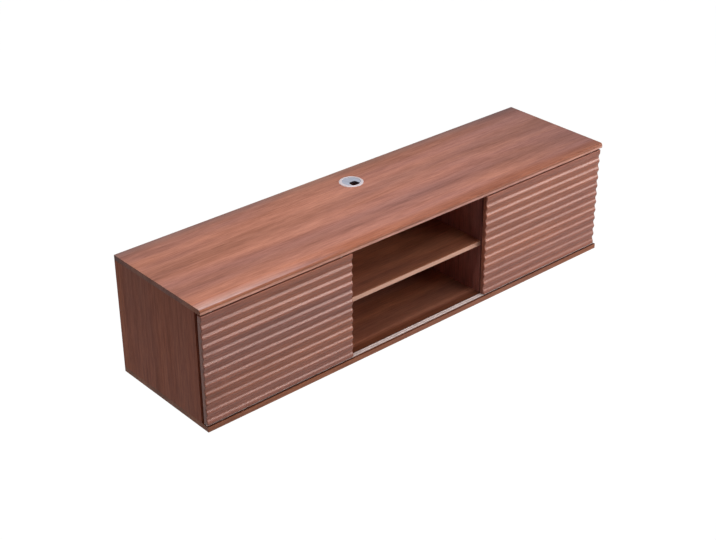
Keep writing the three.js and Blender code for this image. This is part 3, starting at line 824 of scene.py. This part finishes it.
def makeHead(outline, along):
    head = turned("head", outline, (0, 0, 0), along, smallScrew["steps"])
    reach = max(radius for radius, distance in outline) * smallScrew["recessShare"]
    crossRecess(head, (0, 0, 0), along, reach, smallScrew["recessWidth"], smallScrew["recessDepth"])
    return head


def screwRow(name, head, start, step, count, body, slotName):
    piece = meshObject(name, bpy.data.meshes.new(name))
    modifier = piece.modifiers.new("row", "NODES")
    modifier.node_group = screwTree
    setInputs(modifier, {"Head": head, "Start": tuple(start), "Step": tuple(step), "Count": count})
    bakeModifiers(piece)
    evenNormals(piece)
    finishPiece(piece, steelMetal, body, slotName)


# Track: a grooved strip with countersunk holes, and three screws under each door's run
track = {
    "base": 0.0012, "proud": 0.0001, "holeTop": 0.0024, "holeFoot": 0.0012, "over": 0.0002,
    "firstScrew": 0.300, "screwStep": 0.195, "screws": 3, "ease": 0.00015,
}


def makeTrack():
    low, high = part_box("bottom_track")
    y = (low.y + high.y) / 2
    floor = low.z + track["base"]
    piece = wholeCopy("bottom_track", "bottom_track_strip")
    easeEdges(piece, track["ease"])
    head = makeHead(sunkOutline, (0, 0, -1))
    top, foot, over = track["holeTop"], track["holeFoot"], track["over"]
    for side, label in ((-1, "left"), (1, "right")):
        holes = []
        for index in range(track["screws"]):
            x = side * (track["firstScrew"] + index * track["screwStep"])
            holes.append(turned("hole", (
                (0, -over), (top, -over), (top, 0), (foot, track["base"]),
                (foot, track["base"] + over), (0, track["base"] + over),
            ), (x, y, floor), (0, 0, -1), smallScrew["steps"]))
        shape(piece, holes)
        screwRow(
            label + "_track_screws", head, (side * track["firstScrew"], y, floor + track["proud"]),
            (side * track["screwStep"], 0, 0), track["screws"], "root", "steel_fitting",
        )
    bpy.data.objects.remove(head)
    evenNormals(piece)
    finishPiece(piece, trackMetal, "root", "track_aluminium", "bottom_track")


# The channel in the top that guides the doors, and the stops at the ends of the track
guides = {
    "top_guide_channel": (trackMetal, 0.0002, "track_aluminium"),
    "left_track_stop": (darkNylon, 0.0003, "dark_nylon"),
    "right_track_stop": (darkNylon, 0.0003, "dark_nylon"),
}
makeTrack()
for node, (material, ease, slotName) in guides.items():
    guide = wholeCopy(node, node + "_eased")
    easeEdges(guide, ease)
    finishPiece(guide, material, "root", slotName, node)
print("track made")


# Doors: a fine rippled board, drawn by nodes from the size of the plain one
door = {
    "crestBand": 0.0049,  # plain strip below the first ripple
    "pitch": 0.0278,
    "depth": 0.0044,
    "stepsPerRipple": 32,
    "endRound": 0.0026,
    "endSteps": 4,
    "ease": 0.0010,
    "fit": 0.0003,
    "over": 0.0010,  # overrun of the cuts
}


def rippleTree(material):
    tree, given = newTree("rippled_board", (
        ("Size", "NodeSocketVector"), ("Middle", "NodeSocketVector"), ("Rows", "NodeSocketInt"),
        ("Foot", "NodeSocketFloat"), ("Pitch", "NodeSocketFloat"), ("Depth", "NodeSocketFloat"),
        ("Count", "NodeSocketFloat"),
    ))
    board = addNode(tree, "GeometryNodeMeshCube", {
        "Size": given["Size"], "Vertices X": 2, "Vertices Y": 2, "Vertices Z": given["Rows"],
    })
    place = addNode(tree, "GeometryNodeInputPosition")
    parts = addNode(tree, "ShaderNodeSeparateXYZ", {0: place.outputs[0]})
    size = addNode(tree, "ShaderNodeSeparateXYZ", {0: given["Size"]})

    fromFoot = maths(tree, "ADD", parts.outputs["Z"], maths(tree, "MULTIPLY", size.outputs["Z"], 0.5))
    wave = maths(tree, "DIVIDE", maths(tree, "SUBTRACT", fromFoot, given["Foot"]), given["Pitch"])
    inside = maths(tree, "MINIMUM", maths(tree, "MAXIMUM", wave, 0.0), given["Count"])
    turn = maths(tree, "COSINE", maths(tree, "MULTIPLY", inside, 2 * math.pi))
    share = maths(tree, "MULTIPLY", maths(tree, "SUBTRACT", 1.0, turn), 0.5)
    hollow = maths(tree, "MULTIPLY", share, given["Depth"])
    atFront = addNode(tree, "FunctionNodeCompare", {0: parts.outputs["Y"], 1: 0.0}, operation="LESS_THAN")
    offset = addNode(tree, "ShaderNodeCombineXYZ", {"Y": hollow})
    shaped = addNode(tree, "GeometryNodeSetPosition", {
        "Geometry": board.outputs["Mesh"],
        "Selection": atFront.outputs[0],
        "Offset": offset.outputs[0],
    })
    moved = addNode(tree, "GeometryNodeTransform", {
        "Geometry": shaped.outputs[0],
        "Translation": given["Middle"],
    })
    endTree(tree, moved.outputs[0], material)
    return tree


# Running gear in each lower corner, guide stud in each upper one
carriage = {
    "sideWall": 0.0020, "flange": 0.0018, "flangeRise": 0.0040, "crown": 0.0050,
    "ear": 0.0090, "axleHole": 0.0023, "screwHead": 0.0010, "ease": 0.0003,
}
wheel = {
    "bore": 0.0023, "hub": 0.0042, "rim": 0.0024, "width": 0.0044, "web": 0.0026,
    "ease": 0.0004, "steps": 64,
}
axle = {"radius": 0.0020, "head": 0.0034, "headLength": 0.0010, "ease": 0.0003, "steps": 32}
stud = {
    "shank": 0.0035, "shankLength": 0.018, "collar": 0.0050, "collarHeight": 0.0015,
    "pin": 0.0025, "ease": 0.0006, "steps": 32,
}


def makeCarriage(corner, body, head):
    node = corner + "_carriage"
    low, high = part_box(node)
    middle = (low.x + high.x) / 2
    flangeBack = high.y - carriage["screwHead"]
    flangeFront = flangeBack - carriage["flange"]
    bodyHalf = (high.x - low.x) / 2 - carriage["ear"]
    bodyTop = high.z - carriage["flangeRise"]
    piece = boxTool(
        Vector((middle - bodyHalf, low.y, low.z)),
        Vector((middle + bodyHalf, flangeBack, bodyTop)),
    )
    piece.name = node + "_moulding"
    flange = boxTool(Vector((low.x, flangeFront, low.z)), Vector((high.x, flangeBack, high.z)))
    shape(piece, [flange], "UNION")
    slotHalf = bodyHalf - carriage["sideWall"]
    over = door["over"]
    wheelLow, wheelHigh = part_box(corner + "_wheel")
    slot = boxTool(
        Vector((middle - slotHalf, wheelLow.y - door["fit"], low.z - over)),
        Vector((middle + slotHalf, wheelHigh.y + door["fit"], bodyTop - carriage["crown"])),
    )
    radius, depth = carriage["axleHole"], high.y - low.y
    hole = turned("hole", (
        (0, -over), (radius, -over), (radius, depth), (0, depth),
    ), (middle, low.y, (wheelLow.z + wheelHigh.z) / 2), (0, 1, 0), smallScrew["steps"])
    shape(piece, [slot, hole])
    easeEdges(piece, carriage["ease"])
    finishPiece(piece, darkNylon, body, "dark_nylon", node)
    screwX = bodyHalf + carriage["ear"] / 2
    screwRow(
        node + "_screws", head, (middle - screwX, high.y, (low.z + high.z) / 2),
        (2 * screwX, 0, 0), 2, body, "steel_fitting",
    )


def makeWheel(corner):
    node = corner + "_wheel"
    low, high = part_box(node)
    radius = (high.x - low.x) / 2
    centre = (low + high) / 2
    half, web = wheel["width"] / 2, wheel["web"] / 2
    bore, hub, rim = wheel["bore"], wheel["hub"], radius - wheel["rim"]
    piece = turned(node + "_turned", (
        (bore, -half), (hub, -half), (hub, -web), (rim, -web), (rim, -half), (radius, -half),
        (radius, half), (rim, half), (rim, web), (hub, web), (hub, half), (bore, half),
    ), centre, (0, 1, 0), wheel["steps"])
    easeEdges(piece, wheel["ease"])
    finishPiece(piece, paleNylon, node, "pale_nylon", node)

    def isBearing(face):
        offset = face.center - centre
        return math.hypot(offset.x, offset.z) < hub - wheel["ease"]

    paintFaces(piece, steelMetal, isBearing)


def makeAxle(corner, body):
    node = corner + "_axle"
    low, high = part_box(node)
    middle = (low + high) / 2
    head, radius, headLength, length = axle["head"], axle["radius"], axle["headLength"], high.y - low.y
    piece = turned(node + "_pin", (
        (0, 0), (head, 0), (head, headLength), (radius, headLength), (radius, length), (0, length),
    ), (middle.x, high.y, middle.z), (0, -1, 0), axle["steps"])
    easeEdges(piece, axle["ease"])
    finishPiece(piece, steelMetal, body, "steel_fitting", node)


def makeStud(corner, body):
    node = corner + "_guide_stud"
    low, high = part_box(node)
    middle = (low + high) / 2
    shank, collar, pin = stud["shank"], stud["collar"], stud["pin"]
    seat, top = stud["shankLength"], high.z - low.z
    collarTop = seat + stud["collarHeight"]
    piece = turned(node + "_turned", (
        (0, 0), (shank, 0), (shank, seat), (collar, seat), (collar, collarTop),
        (pin, collarTop), (pin, top), (0, top),
    ), (middle.x, middle.y, low.z), (0, 0, 1), stud["steps"])
    easeEdges(piece, stud["ease"])
    finishPiece(piece, paleNylon, body, "pale_nylon", node)


def makeDoor(side):
    body = side + "_door"
    low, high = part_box(body)
    size = high - low
    count = math.floor((size.z - 2 * door["crestBand"]) / door["pitch"])
    piece = meshObject(body + "_board", bpy.data.meshes.new(body))
    modifier = piece.modifiers.new("ripple", "NODES")
    modifier.node_group = rippleTree(doorFinish[side])
    setInputs(modifier, {
        "Size": tuple(size),
        "Middle": tuple((low + high) / 2),
        "Rows": round(size.z / door["pitch"] * door["stepsPerRipple"]),
        "Foot": door["crestBand"],
        "Pitch": door["pitch"],
        "Depth": door["depth"],
        "Count": float(count),
    })
    bakeModifiers(piece)
    front = (low.y + high.y) / 2
    near = door["fit"]
    endRound, endSteps = door["endRound"], door["endSteps"]
    roundEdges(piece, endRound, endSteps, lambda co: co.y < front and co.x < low.x + near)
    roundEdges(piece, endRound, endSteps, lambda co: co.y < front and co.x > high.x - near)
    easeEdges(piece, door["ease"])

    tools = []
    fit, over = door["fit"], door["over"]
    for corner in (body + "_left", body + "_right"):
        seatLow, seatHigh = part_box(corner + "_carriage")
        middle = (seatLow.x + seatHigh.x) / 2
        half = (seatHigh.x - seatLow.x) / 2 - carriage["ear"] + fit
        tools.append(boxTool(
            Vector((middle - half, seatLow.y - fit, low.z - over)),
            Vector((middle + half, high.y + over, seatHigh.z - carriage["flangeRise"] + fit)),
        ))
        studLow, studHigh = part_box(corner + "_guide_stud")
        hole = stud["shank"] + fit
        depth = stud["shankLength"] + over
        tools.append(turned("hole", (
            (0, -fit), (hole, -fit), (hole, depth), (0, depth),
        ), (middle, (studLow.y + studHigh.y) / 2, studLow.z), (0, 0, 1), stud["steps"]))
    shape(piece, tools)
    evenNormals(piece)
    return finishPiece(piece, doorFinish[side], body, "rippled_door", body)


gearHead = makeHead(panOutline, (0, -1, 0))
for side in ("left", "right"):
    made = makeDoor(side)
    for corner in (made.name.replace("board", "left"), made.name.replace("board", "right")):
        makeCarriage(corner, side + "_door", gearHead)
        makeWheel(corner)
        makeAxle(corner, side + "_door")
        makeStud(corner, side + "_door")
    print(made.name, len(made.data.polygons), "faces")
bpy.data.objects.remove(gearHead)


# Floor, world and lamps
stage = {
    "floorDrop": 0.9,
    "floorSize": 40.0,
    "floorColour": (0.58, 0.58, 0.58, 1),
    "floorRoughness": 0.9,
    "glow": 1.045,
    "glowShare": 0.96,  # the rest shows the shadow
    "glossyShare": 0.3,
    "skyStrength": 0.11,
}
lamps = {
    "overhead": {
        "place": (-0.50, -0.40, 2.0), "target": (-0.50, -0.40, 0.0),
        "size": (1.9, 1.0), "power": 45.0,
    },
    "strip": {
        "place": (2.70, -3.4, 0.8), "target": (0.5, -0.38, -0.13),
        "size": (3.8, 0.5), "power": 87.0,
    },
    "high": {
        "place": (0.45, -2.1, 2.2), "target": (0.0, -0.38, -0.13),
        "size": (1.0, 0.45), "power": 8.5,
    },
    "behind": {
        "place": (0.0, 3.2, 0.1), "target": (0.0, 0.0, -0.15),
        "size": (1.3, 0.8), "power": 45.0,
    },
}


# Camera and see-through rays meet the white background in full and glossy rays a part of it,
# the others the stage's real light
def seesBackground(tree):
    seen = addNode(tree, "ShaderNodeLightPath").outputs
    share = maths(tree, "MULTIPLY", seen["Is Glossy Ray"], stage["glossyShare"])
    for ray in ("Is Camera Ray", "Is Transmission Ray"):
        share = maths(tree, "MAXIMUM", share, seen[ray])
    return share


def makeFloor():
    material, tree, shader = newMaterial("floor")
    shader.inputs["Base Color"].default_value = stage["floorColour"]
    shader.inputs["Roughness"].default_value = stage["floorRoughness"]
    glow = addNode(tree, "ShaderNodeEmission", {"Color": (1, 1, 1, 1), "Strength": stage["glow"]})
    share = maths(tree, "MULTIPLY", seesBackground(tree), stage["glowShare"])
    mix = addNode(tree, "ShaderNodeMixShader", {0: share, 1: shader.outputs[0], 2: glow.outputs[0]})
    output = next(n for n in tree.nodes if n.type == "OUTPUT_MATERIAL")
    tree.links.new(mix.outputs[0], output.inputs["Surface"])
    half = stage["floorSize"] / 2
    mesh = bpy.data.meshes.new("floor")
    level = cadLow.z - stage["floorDrop"]
    corners = [(-half, -half, level), (half, -half, level), (half, half, level), (-half, half, level)]
    mesh.from_pydata(corners, [], [(0, 1, 2, 3)])
    floor = meshObject("floor", mesh)
    paint(floor, material)


def addLamp(name, place, target, size, power):
    data = bpy.data.lights.new(name, "AREA")
    data.shape = "RECTANGLE"
    data.size, data.size_y = size
    data.energy = power
    lamp = bpy.data.objects.new(name, data)
    bpy.context.scene.collection.objects.link(lamp)
    lamp.location = place
    lamp.rotation_mode = "QUATERNION"
    lamp.rotation_quaternion = (Vector(target) - Vector(place)).to_track_quat("-Z", "Y")


def makeWorld():
    world = bpy.data.worlds.new("sky")
    world.use_nodes = True
    tree = world.node_tree
    tree.nodes.clear()
    soft = addNode(tree, "ShaderNodeBackground", {"Color": (1, 1, 1, 1), "Strength": stage["skyStrength"]})
    white = addNode(tree, "ShaderNodeBackground", {"Color": (1, 1, 1, 1), "Strength": 1.0})
    share = seesBackground(tree)
    mix = addNode(tree, "ShaderNodeMixShader", {0: share, 1: soft.outputs[0], 2: white.outputs[0]})
    output = addNode(tree, "ShaderNodeOutputWorld")
    tree.links.new(mix.outputs[0], output.inputs["Surface"])
    bpy.context.scene.world = world


makeFloor()
makeWorld()
for name, lamp in lamps.items():
    addLamp(name, **lamp)
bpy.context.scene.view_settings.view_transform = "Standard"
print("stage and lamps made")
